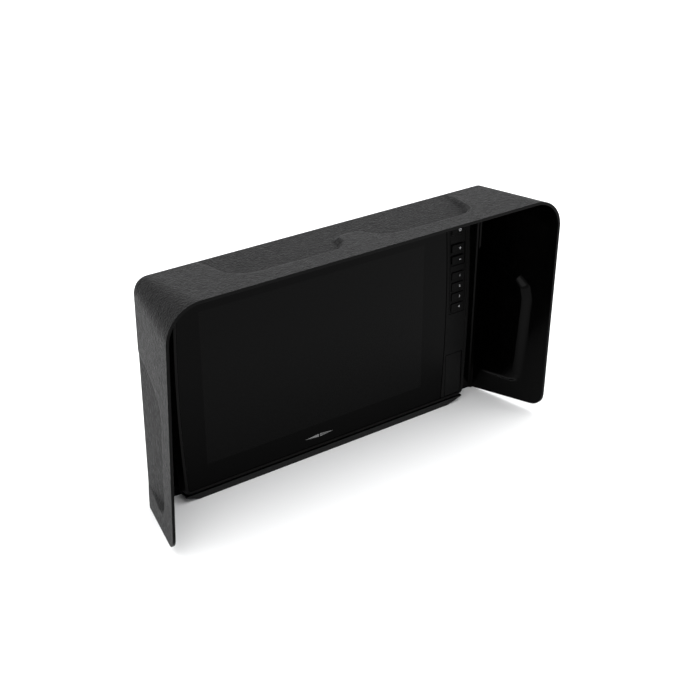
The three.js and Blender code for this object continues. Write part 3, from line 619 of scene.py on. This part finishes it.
def leaned(points):
    """The whole visor leans about its top back edge."""
    dy, dz = points[..., 1] - BACK_Y, points[..., 2] - BACK_TOP
    y = BACK_Y + dy * math.cos(LEAN) - dz * math.sin(LEAN)
    z = BACK_TOP + dy * math.sin(LEAN) + dz * math.cos(LEAN)
    return np.stack([points[..., 0], y + GLASS_Y, z], -1) * MM


def grid_faces(outer, inner):
    """Faces of the sheet: both sides, then its four edges; the inside ones are marked."""
    faces, inside = [], []
    rows, cols = outer.shape
    for r in range(rows - 1):
        for c in range(cols - 1):
            faces.append((outer[r, c], outer[r + 1, c], outer[r + 1, c + 1], outer[r, c + 1]))
            faces.append((inner[r, c], inner[r, c + 1], inner[r + 1, c + 1], inner[r + 1, c]))
            inside += [0, 1]
    for r in range(rows - 1):
        faces.append((outer[r, 0], inner[r, 0], inner[r + 1, 0], outer[r + 1, 0]))
        faces.append((outer[r, -1], outer[r + 1, -1], inner[r + 1, -1], inner[r, -1]))
        inside += [0, 0]
    for c in range(cols - 1):
        faces.append((outer[0, c], outer[0, c + 1], inner[0, c + 1], inner[0, c]))
        faces.append((outer[-1, c], inner[-1, c], inner[-1, c + 1], outer[-1, c + 1]))
        inside += [0, 1]
    return faces, inside


def make_visor():
    """The visor: one sheet, grained outside and smooth inside and on its cut edges."""
    stations = Stations()
    sides = [leaned(sheet_rows(stations, inset)) for inset in (0, SHEET)]
    rows, cols, _ = sides[0].shape
    number = np.arange(rows * cols).reshape(rows, cols)
    faces, inside = grid_faces(number, number + rows * cols)
    mesh = bpy.data.meshes.new("visor_sheet")
    points = np.concatenate([side.reshape(-1, 3) for side in sides])
    mesh.from_pydata(points.tolist(), [], [tuple(int(i) for i in f) for f in faces])
    mesh.polygons.foreach_set("material_index", inside)
    piece = link_object("visor_sheet", mesh)
    rounding = round_edges(piece, SHEET_EDGE, turn=50)
    # the cut edges take the inside material, with its painted shade
    rounding.material = 1
    shade(piece, sharp_deg=60)
    finish_piece(piece, "visor", "visor_sheet", GRAIN, INSIDE_PAINTED_SHADE, replaces="visor_shell")


# ---------------------------------------------------------------- bezel and glass

RIM_BOX = box_mm("front_bezel")
RIM = (*RIM_BOX[:2], *RIM_BOX[4:])
RIM_FRONT, RIM_BACK = RIM_BOX[2:4]
RIM_R = 6
RIM_BOTTOM = 12  # a shadow groove runs under the rim
RIM_FACE_BACK = 2.4
GROOVE_BACK = 1.4
RING_W = 3.4
WALL_INSET, WALL_W = 1.2, 6.4
WALL_FRONT, WALL_BACK = 3.7, 8.8
INNER_R = 3
PANE = box_mm("front_glass")
PANE_RECT = (UNIT_X * 2 - RIM[1] + 3.6, UNIT_X + 145, *PANE[4:])
PANE_R = 3
LEDGE_LAP = 1
LEDGE_FRONT, LEDGE_BACK = 2.1, 3.6
WINDOW_R = 1
RIM_W = 3.3
PANEL_FRONT, PANEL_BACK = -0.3, 1.6
PANEL = (PANE_RECT[1] + 0.5, RIM[1] - RIM_W, PANE[4], PANE[5])
PANEL_R = 2
KEYS = ["power_key", "zoom_in_key", "zoom_out_key", *(f"shortcut_key_{i}" for i in range(1, 5))]
KEY_FLANGE = 0.9  # a key's CAD box includes the flange behind the panel
KEY_SLIDE = 0.4
KEY_PAD = (UNIT_X + 149, UNIT_X + 169.6, 113.4, 217.6)
ZOOM_POCKET = (UNIT_X + 149.9, UNIT_X + 168.8, 168.4, 194.6)
PAD_GROOVE = 0.5
PAD_R = 1.6
PAD_FACE_BACK = 0.65
PAD_FLOOR_FRONT, PAD_FLOOR_LAP = 0.5, 1.2
DOOR = box_mm("card_door")
DOOR_OPENING = (DOOR[0] - GAP, DOOR[1] + GAP, DOOR[4] - GAP, DOOR[5] + GAP)
DOOR_R = 0.6
LINING = 1.2
LINING_FRONT, LINING_BACK = 0.2, 4.6
BAY_FRONT, BAY_BACK = 3.1, 7.2
BAY_R = 2
BAY = (UNIT_X + 149.7, UNIT_X + 166.2, 18, 63)
BAY_FLOOR, BAY_FLOOR_BACK = 6.4, 7.8
SLOT_X = (UNIT_X + 149.8, UNIT_X + 162)
SLOT_H, SLOT_R = 1.6, 0.5
SLOT_Z = (29, 49)


def key_rect(name, by=0.0):
    """A key cap's outline box, grown by a distance."""
    x0, x1, _, _, z0, z1 = box_mm(name)
    return grown((x0, x1, z0, z1), by - KEY_FLANGE)


def key_plates():
    """The key column's pad: its raised face, and the floor of the pocket of the two zoom keys."""
    holes = {key: round_rect(*key_rect(key, KEY_SLIDE), PAD_R) for key in KEYS}
    single = [hole for key, hole in holes.items() if not key.startswith("zoom")]
    pair = [hole for key, hole in holes.items() if key.startswith("zoom")]
    pad = bowed_rect(*grown(KEY_PAD, -PAD_GROOVE), PAD_R)
    under = bowed_rect(*grown(KEY_PAD, PAD_FLOOR_LAP), PAD_R)
    return [
        plate([pad, bowed_rect(*ZOOM_POCKET, PAD_R)] + single, PANEL_FRONT, PAD_FACE_BACK, edge=0.25),
        plate([under] + single + pair, PAD_FLOOR_FRONT, PANEL_BACK + 0.4, edge=0.12),
    ]


def bay_plates():
    """The lined bay behind the card door, with two card slots in its floor."""
    lining = grown(DOOR_OPENING, LINING)
    slots = [round_rect(*SLOT_X, z, z + SLOT_H, SLOT_R) for z in SLOT_Z]
    return [
        plate(
            [round_rect(*lining, LINING), round_rect(*DOOR_OPENING, DOOR_R)],
            LINING_FRONT, LINING_BACK, edge=0.15,
        ),
        plate([round_rect(*lining, LINING), round_rect(*BAY, BAY_R)], BAY_FRONT, BAY_BACK, edge=0.25),
        plate([round_rect(*grown(BAY, 1), BAY_R)] + slots, BAY_FLOOR, BAY_FLOOR_BACK, edge=0.15),
    ]


def make_bezel():
    """The bezel: rim face, ring and wall behind it, glass ledge, key panel, pad and door bay."""
    rim_face = (RIM[0], RIM[1], RIM_BOTTOM, RIM[3])
    opening = (PANE_RECT[0] - GAP, RIM[1] - RIM_W, PANE[4] - GAP, PANE[5] + GAP)
    window = grown((LCD[0], LCD[1], LCD[4], LCD[5]), GAP)
    ring_hole = bowed_rect(*grown(RIM, -RING_W), INNER_R)
    wall = bowed_rect(*grown(RIM, -WALL_INSET), RIM_R - 1)
    wall_hole = bowed_rect(*grown(RIM, -WALL_W), INNER_R)
    ledge = bowed_rect(*grown(PANE_RECT, LEDGE_LAP), PANE_R)
    panel_holes = [bowed_rect(*KEY_PAD, PAD_R), round_rect(*DOOR_OPENING, DOOR_R)]
    parts = [
        plate(
            [bowed_rect(*rim_face, RIM_R), bowed_rect(*opening, PANE_R)],
            RIM_FRONT, RIM_FACE_BACK, edge=0.6, rounding=4,
        ),
        plate([bowed_rect(*RIM, RIM_R), ring_hole], GROOVE_BACK, RIM_BACK, edge=0.4),
        plate([wall, wall_hole], WALL_FRONT, WALL_BACK, edge=0.2),
        plate([ledge, round_rect(*window, WINDOW_R)], LEDGE_FRONT, LEDGE_BACK, edge=0.2),
        plate([bowed_rect(*PANEL, PANEL_R)] + panel_holes, PANEL_FRONT, PANEL_BACK, edge=0.2),
        *key_plates(),
        *bay_plates(),
    ]
    finish_piece(merged("bezel", parts), "display", "housing_plastic", SHELL, replaces="front_bezel")


def make_glass():
    """The flat cover glass."""
    pane = plate([bowed_rect(*PANE_RECT, PANE_R)], PANE[2], PANE[3], edge=0.35)
    piece = merged("glass_pane", [pane], sharp_deg=12)
    finish_piece(piece, "display", "cover_glass", GLASS, replaces="front_glass")


MARK_Z = 25
MARK_W, MARK_H = 34, 3.4
NEEDLE_EYE = 0.8
NEEDLE_TIP, NEEDLE_SIDE = 4, 1.2  # how far the east half's cut-out keeps from its outline
LEGEND_T = 0.12
INK_EDGE = 0.02
INK_PROUD = 0.001


def make_needle_mark():
    """A plain compass needle printed on the glass border, under the screen."""
    middle = (LCD[0] + LCD[1]) / 2
    half_w, half_h, eye = MARK_W / 2, MARK_H / 2, NEEDLE_EYE
    west = [
        (middle - half_w, MARK_Z), (middle - eye, MARK_Z - half_h), (middle - eye, MARK_Z + half_h),
    ]
    east = [
        (middle + half_w, MARK_Z), (middle + eye, MARK_Z + half_h), (middle + eye, MARK_Z - half_h),
    ]
    cut_out = [
        (middle + half_w - NEEDLE_TIP, MARK_Z),
        (middle + eye + NEEDLE_EYE, MARK_Z + half_h - NEEDLE_SIDE),
        (middle + eye + NEEDLE_EYE, MARK_Z - half_h + NEEDLE_SIDE),
    ]
    front = INK_PROUD - LEGEND_T
    parts = [plate(shape, front, 0, INK_EDGE, rounding=0) for shape in ([west], [east, cut_out])]
    finish_piece(merged("needle_mark", parts), "display", "cover_glass", MARK_INK)


# ---------------------------------------------------------------- keys and card door

LEGEND_H = 2.6
INK_STROKE = 0.6
LEGEND_X = 2.3  # right of the key's middle
DIGIT_SIZE = 1.35  # text size for a digit as high as the legends
POWER_R, POWER_ARC, POWER_BAR = 1.35, (130, 410), (0.2, 2.0)
CAP_R, CAP_BACK = 1.4, 2.0
CAP_FLANGE_FRONT, CAP_FLANGE_BACK = 1.9, 2.7
STEM_HALF, STEM_R, STEM_FRONT = 2, 1.95, 2.6
LEAF_GAP_SIDE, LEAF_GAP_BELOW, LEAF_GAP_ABOVE = 0.45, 0.4, 0.5
LEAF_NEAR_R, LEAF_FAR_R = 0.7, 0.5


def arc_band(cx, cz, r, stroke, start, end, steps=20):
    """A thin curved stroke as a closed outline, angles in degrees."""
    turns = [math.radians(start + (end - start) * i / steps) for i in range(steps + 1)]
    outer, inner = (
        [(cx + reach * math.cos(t), cz + reach * math.sin(t)) for t in turns]
        for reach in (r + stroke / 2, r - stroke / 2)
    )
    return outer + inner[::-1]


def bar(x0, x1, z0, z1):
    return [(x0, z0), (x1, z0), (x1, z1), (x0, z1)]


def cross(cx, cz, arm, half):
    """The outline of an upright cross, from the reach and half width of its arms."""
    return [
        (cx - arm, cz - half), (cx - half, cz - half), (cx - half, cz - arm), (cx + half, cz - arm),
        (cx + half, cz - half), (cx + arm, cz - half), (cx + arm, cz + half), (cx + half, cz + half),
        (cx + half, cz + arm), (cx - half, cz + arm), (cx - half, cz + half), (cx - arm, cz + half),
    ]


def power_symbol(cx, cz):
    s = INK_STROKE / 2
    low, high = POWER_BAR
    return [
        arc_band(cx, cz, POWER_R, INK_STROKE, *POWER_ARC), bar(cx - s, cx + s, cz + low, cz + high),
    ]


def plus_symbol(cx, cz):
    return [cross(cx, cz, LEGEND_H / 2, INK_STROKE / 2)]


def minus_symbol(cx, cz):
    s, a = INK_STROKE / 2, LEGEND_H / 2
    return [bar(cx - a, cx + a, cz - s, cz + s)]


def flat_legend(name, outlines, y):
    """Ink outlines as one thin solid each, standing a hair proud of the surface."""
    return merged(name, [plate([points], y - LEGEND_T, y, INK_EDGE, rounding=0) for points in outlines])


def digit_legend(name, digit, cx, cz, y):
    """A plain digit as a thin solid of ink."""
    text = bpy.data.curves.new(name, "FONT")
    text.body = digit
    text.size = LEGEND_H * DIGIT_SIZE * MM
    text.align_x = "CENTER"
    text.align_y = "CENTER"
    text.extrude = LEGEND_T / 2 * MM
    text.resolution_u = 6
    mesh = evaluated_mesh(link_object(name, text))
    middle = (GLASS_Y + y - LEGEND_T / 2) * MM
    for v in mesh.vertices:
        v.co = Vector((v.co.x + cx * MM, middle - v.co.z, v.co.y + cz * MM))
    mesh.flip_normals()
    mesh.name = name
    return link_object(name, mesh)


def make_key(node):
    """A key: its cap, the flange that holds it behind the panel, its stem, and its legend."""
    _, _, y0, y1, _, _ = box_mm(node)
    rect = key_rect(node)
    cx, cz = (rect[0] + rect[1]) / 2, (rect[2] + rect[3]) / 2
    stem = (cx - STEM_HALF, cx + STEM_HALF, cz - STEM_HALF, cz + STEM_HALF)
    flange = grown(rect, KEY_FLANGE)
    parts = [
        plate([round_rect(*rect, CAP_R)], y0, CAP_BACK, edge=0.55, rounding=4),
        plate([round_rect(*flange, CAP_R)], CAP_FLANGE_FRONT, CAP_FLANGE_BACK, edge=0.15),
        plate([round_rect(*stem, STEM_R)], STEM_FRONT, y1, edge=0.2),
    ]
    cx += LEGEND_X
    finish_piece(merged(f"{node}_cap", parts), node, "key_plastic", KEY, replaces=node)
    if node == "power_key":
        legend = flat_legend("power_legend", power_symbol(cx, cz), y0)
    elif node == "zoom_in_key":
        legend = flat_legend("zoom_in_legend", plus_symbol(cx, cz), y0)
    elif node == "zoom_out_key":
        legend = flat_legend("zoom_out_legend", minus_symbol(cx, cz), y0)
    else:
        legend = digit_legend(f"{node}_legend", node[-1], cx, cz, y0)
    finish_piece(legend, node, "key_plastic", LEGEND_INK)


def make_card_door():
    """The card door's leaf, square at its free edge and round about its pin."""
    x0, x1, y0, y1, z0, z1 = DOOR
    r = (y1 - y0) / 2
    hinge_x, hinge_y = x1 - r, (y0 + y1) / 2
    left = x0 + LEAF_GAP_SIDE
    near = round_corner(left + LEAF_NEAR_R, y0 + LEAF_NEAR_R, LEAF_NEAR_R, 180)
    far = round_corner(left + LEAF_FAR_R, y1 - LEAF_FAR_R, LEAF_FAR_R, 90)
    rounded_end = round_corner(hinge_x, hinge_y, r, -90) + round_corner(hinge_x, hinge_y, r, 0)[1:]
    leaf = upright([near + rounded_end + far], z0 + LEAF_GAP_BELOW, z1 - LEAF_GAP_ABOVE, edge=0.35)
    piece = merged("door_leaf", [leaf])
    finish_piece(piece, "card_door", "housing_plastic", SHELL, replaces="card_door")


# ---------------------------------------------------------------- everything behind


def disc(cx, cz, r, steps=40):
    """A round outline."""
    turns = [2 * math.pi * i / steps for i in range(steps)]
    return [(cx + r * math.cos(t), cz + r * math.sin(t)) for t in turns]


def knurled(cx, cz, r, depth, teeth):
    """A disc whose rim carries square teeth."""
    points = disc(cx, cz, 1, teeth * 4)
    radius = [r, r, r - depth, r - depth] * teeth
    return [(cx + (x - cx) * reach, cz + (z - cz) * reach) for (x, z), reach in zip(points, radius)]


def round_piece(node):
    """Middle, radius and depth range of a node that is round about a line along Y."""
    x0, x1, y0, y1, z0, z1 = box_mm(node)
    return (x0 + x1) / 2, (z0 + z1) / 2, min(x1 - x0, z1 - z0) / 2 - 0.02, y0, y1


COLLAR_L = 9.7
COLLAR_FLANGE, TEETH_FROM, INSERT_FROM = 2.6, 2.4, 2.5  # depths into the collar
INSERT_SUNK, PIN_SUNK = 1, 1.8
BORE_R, INSERT_R, NECK_R = 8.7, 6.3, 7.8
PIN_R, PIN_HOLE_R = 0.55, 0.95
PINS = {"power_socket": 4, "transducer_socket": 8, "network_socket": 5, "data_socket": 6}
PIN_RING = 3.7
SCREW_ARM, SCREW_SLOT_HALF = 1.3, 0.28
SCREW_RECESS, SCREW_RECESS_FLOOR, SCREW_HEAD, SCREW_STEM = 1.1, 1, 1.9, 1.8  # from the head's top
SCREW_STEM_R = 1.2
THREAD_R = 1.8
VENT_HOLES, VENT_HOLE_R, VENT_RING = 6, 0.6, 3.4
VENT_FACE, VENT_FACE_FLOOR, VENT_CAP, VENT_STEM = 1, 0.9, 2.3, 2.2  # from the cap's top
VENT_STEM_R = 2.9


def make_socket(node, pins):
    """A round socket with a toothed collar, and pins standing in its insert."""
    cx, cz, r, y0, y1 = round_piece(node)
    collar = y1 - COLLAR_L
    places = disc(cx, cz, PIN_RING, pins)
    insert = [disc(cx, cz, INSERT_R)] + [disc(x, z, PIN_HOLE_R, 16) for x, z in places]
    teeth = [knurled(cx, cz, r, depth=0.45, teeth=30), disc(cx, cz, BORE_R)]
    parts = [
        plate(teeth, collar + TEETH_FROM, y1, edge=0.15),
        plate([disc(cx, cz, r)], collar, collar + COLLAR_FLANGE, edge=0.25),
        plate(insert, collar + INSERT_FROM, y1 - INSERT_SUNK, edge=0.15),
        plate([disc(cx, cz, NECK_R)], y0, collar + 0.1, edge=0.2),
    ]
    contacts = [
        plate([disc(x, z, PIN_R, 16)], collar + INSERT_FROM, y1 - PIN_SUNK, edge=0.15) for x, z in places
    ]
    finish_piece(merged(f"{node}_body", parts), "display", "socket_plastic", SOCKET, replaces=node)
    finish_piece(merged(f"{node}_pins", contacts), "display", "brass", BRASS)


def make_housing_screw(node):
    """A pan-head screw with a cross recess."""
    cx, cz, r, y0, y1 = round_piece(node)
    recess = cross(cx, cz, SCREW_ARM, SCREW_SLOT_HALF)
    parts = [
        plate([disc(cx, cz, r, 32), recess], y1 - SCREW_RECESS, y1, edge=0.1),
        plate([disc(cx, cz, r, 32)], y1 - SCREW_HEAD, y1 - SCREW_RECESS_FLOOR, edge=0.1),
        plate([disc(cx, cz, SCREW_STEM_R, 16)], y0, y1 - SCREW_STEM, edge=0.1),
    ]
    finish_piece(merged(f"{node}_body", parts), "display", "steel", BLACK_STEEL, replaces=node)


def make_insert(node):
    """A knurled brass sleeve with its threaded bore open to the back."""
    cx, cz, r, y0, y1 = round_piece(node)
    outlines = [knurled(cx, cz, r, depth=0.25, teeth=24), disc(cx, cz, THREAD_R, 24)]
    sleeve = plate(outlines, y0 + 1, y1, edge=0.1)
    end = plate([disc(cx, cz, r - 0.3)], y0, y0 + 1.1, edge=0.1)
    finish_piece(merged(f"{node}_sleeve", [sleeve, end]), "display", "brass", BRASS, replaces=node)


def make_vent():
    """The vent plug: a stem, and a cap with a ring of breather holes."""
    cx, cz, r, y0, y1 = round_piece("vent_plug")
    holes = [disc(x, z, VENT_HOLE_R, 12) for x, z in disc(cx, cz, VENT_RING, VENT_HOLES)]
    parts = [
        plate([disc(cx, cz, r)] + holes, y1 - VENT_FACE, y1, edge=0.15),
        plate([disc(cx, cz, r)], y1 - VENT_CAP, y1 - VENT_FACE_FLOOR, edge=0.2),
        plate([disc(cx, cz, VENT_STEM_R)], y0, y1 - VENT_STEM, edge=0.2),
    ]
    finish_piece(merged("vent_cap", parts), "display", "rubber", RUBBER, replaces="vent_plug")


def make_back():
    """The rear housing, and the sockets, vent, screws and inserts in it."""
    housing = refined("rear_housing", "housing", edge=0.8)
    finish_piece(housing, "display", "housing_plastic", SHELL, replaces="rear_housing")
    for node, pins in PINS.items():
        make_socket(node, pins)
    make_vent()
    for i in range(1, 9):
        make_housing_screw(f"housing_screw_{i}")
    for i in range(1, 5):
        make_insert(f"mount_insert_{i}")


CARRIED = {
    "key_membrane": RUBBER, "card_door_seal": RUBBER, "housing_seal": RUBBER,
    "key_board": BOARD, "main_board": BOARD,
    "card_door_pin": STEEL, "card_reader": STEEL, "lcd_chassis": STEEL, "shield_can": STEEL,
    "backlight_tray": ALLOY, "heat_spreader": ALLOY,
    "processor": CHIP, "buzzer": CHIP, "gps_antenna": CERAMIC, "lcd_cell": CELL,
    "display_ribbon": FILM, "key_ribbon": FILM,
    **{f"board_screw_{i}": STEEL for i in range(1, 5)},
}


def finish_carried():
    """CAD nodes that show as they are get their procedural material."""
    for node, material in CARRIED.items():
        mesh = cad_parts[node].data
        mesh.materials.clear()
        mesh.materials.append(material)


# ---------------------------------------------------------------- studio

CAMERA_AZIMUTH, CAMERA_ELEVATION = math.radians(-35.53), math.radians(27.94)
CAMERA_DISTANCE = 1.3173
CAMERA_TARGET = Vector((0.02025, GLASS_Y * MM, 0.111))
LENS, SENSOR = 67.64, 36
SOFTBOXES = [  # name, place, aim, width, height, watts
    ("overhead", (0.0, -0.4, 2.6), (0.0, -0.2, 0.0), 4.5, 3.6, 130),
    ("back_right", (1.1, 2.6, 0.75), (0.0, 0.0, 0.2), 2.2, 1.0, 6),
    ("left_side", (-2.6, 1.2, 0.35), (0.0, 0.0, 0.1), 1.0, 0.6, 3),
]
WORLD_COLOUR, WORLD_STRENGTH = (0.93, 0.94, 0.95, 1), 1.1
FLOOR_HALF = 7.0


def make_camera():
    camera = bpy.data.cameras.new("camera")
    camera.lens = LENS
    camera.sensor_width = SENSOR
    holder = link_object("camera", camera)
    back = Vector((
        math.sin(CAMERA_AZIMUTH) * math.cos(CAMERA_ELEVATION),
        -math.cos(CAMERA_AZIMUTH) * math.cos(CAMERA_ELEVATION),
        math.sin(CAMERA_ELEVATION),
    ))
    holder.location = CAMERA_TARGET + back * CAMERA_DISTANCE
    holder.rotation_euler = back.to_track_quat("Z", "Y").to_euler()
    bpy.context.scene.camera = holder


def softbox(name, place, aim, width, height, watts):
    """A rectangular light at a place, turned to an aim."""
    light = bpy.data.lights.new(name, "AREA")
    light.shape = "RECTANGLE"
    light.size = width
    light.size_y = height
    light.energy = watts
    holder = link_object(name, light)
    holder.location = place
    holder.rotation_euler = (Vector(place) - Vector(aim)).to_track_quat("Z", "Y").to_euler()


def make_studio():
    """Lights, world and a white floor."""
    for settings in SOFTBOXES:
        softbox(*settings)
    world = bpy.data.worlds.new("studio")
    world.use_nodes = True
    background = world.node_tree.nodes["Background"]
    background.inputs["Color"].default_value = WORLD_COLOUR
    background.inputs["Strength"].default_value = WORLD_STRENGTH
    bpy.context.scene.world = world
    bpy.context.scene.view_settings.view_transform = "Standard"

    half = FLOOR_HALF
    corners = [(-half, -half, 0), (half, -half, 0), (half, half, 0), (-half, half, 0)]
    floor_mesh = bpy.data.meshes.new("floor")
    floor_mesh.from_pydata(corners, [], [(1, 2, 3, 0)])
    floor = link_object("floor", floor_mesh)
    material, tree, shader = new_material("floor_paper")
    tint(tree, shader, spread(tree, noise(tree, scale=4), low=0, high=1), grey(0.86), grey(0.88))
    shader.inputs["Roughness"].default_value = 0.9
    floor.data.materials.append(material)


make_camera()
make_visor()
make_bezel()
make_glass()
make_needle_mark()
for key in KEYS:
    make_key(key)
make_card_door()
make_back()
finish_carried()
make_studio()
